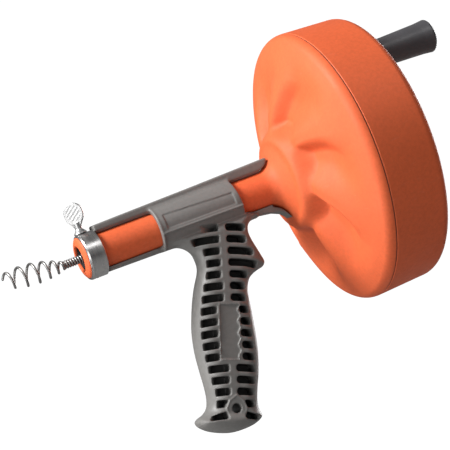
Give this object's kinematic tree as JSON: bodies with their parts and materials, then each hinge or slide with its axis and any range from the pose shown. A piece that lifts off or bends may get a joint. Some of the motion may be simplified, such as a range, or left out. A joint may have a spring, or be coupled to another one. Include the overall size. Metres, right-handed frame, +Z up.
{
  "type": "drain snake machine",
  "caption": "Hand-held drum auger for drains: closed cable drum with crank knob, neck tube with thumb-screw clamp, pistol grip, and a wound cable ending in a bulb auger.",
  "frame": {"origin": "root of the drill shank at the centre of the drum's rear face", "axes": "+X along the drum's spin axis to the rear (the auger points to -X), +Z up with the grip hanging to -Z, +Y to the far side of the handle's plane"},
  "size_m": [0.3742, 0.2052, 0.2579],
  "materials": {
    "orange_plastic": "satin",
    "grey_plastic": "matte",
    "black_plastic": "satin",
    "bearing_plastic": "matte",
    "seal_rubber": "matte",
    "collar_steel": "brushed",
    "nickel": "satin",
    "cable_steel": "oiled",
    "fixings_steel": "zinc plated",
    "brass": "satin"
  },
  "bodies": {
    "handle": {"grip_handle": "grey_plastic", "neck_yoke": "grey_plastic", "sleeve_bushings": "bearing_plastic"},
    "drum": {"front_drum_shell": "orange_plastic", "rear_drum_shell": "orange_plastic", "drum_seal_ring": "seal_rubber", "shell_screws": "fixings_steel", "nose_collar": "collar_steel", "collar_pin": "fixings_steel", "nose_bushing": "bearing_plastic", "cable_guide": "bearing_plastic", "cable_coil": "cable_steel", "cable_clip": "fixings_steel", "clip_screw": "fixings_steel", "drill_stud": "fixings_steel", "stud_washer": "fixings_steel", "stud_nut": "fixings_steel", "knob_bolt": "fixings_steel", "knob_washer": "fixings_steel", "knob_nut": "fixings_steel"},
    "knob": {"crank_knob": "black_plastic"},
    "pad": {"clamp_pad": "brass"},
    "screw": {"thumb_screw": "nickel"},
    "cable": {"cable_run": "cable_steel", "auger_tip": "cable_steel"}
  },
  "joints": [
    {"name": "drum_spin", "type": "hinge", "parent": "handle", "child": "drum", "pos_m": [0, 0, 0], "axis": [1, 0, 0], "continuous": true},
    {"name": "knob_spin", "type": "hinge", "parent": "drum", "child": "knob", "pos_m": [0.035, 0, 0.065], "axis": [1, 0, 0], "continuous": true},
    {"name": "pad_lift", "type": "slide", "parent": "drum", "child": "pad", "axis": [0, 0, 1], "range_m": [0, 0.0024]},
    {"name": "screw_turn", "type": "hinge", "parent": "pad", "child": "screw", "pos_m": [-0.238, 0, 0.01], "axis": [0, 0, 1], "range_deg": [0, 1080]},
    {"name": "cable_feed", "type": "slide", "parent": "drum", "child": "cable", "axis": [-1, 0, 0], "range_m": [-0.01, 0.12]}
  ],
  "couplings": [
    {"joint": "screw_turn", "follows": "pad_lift", "rad_per_m": 7854}
  ]
}
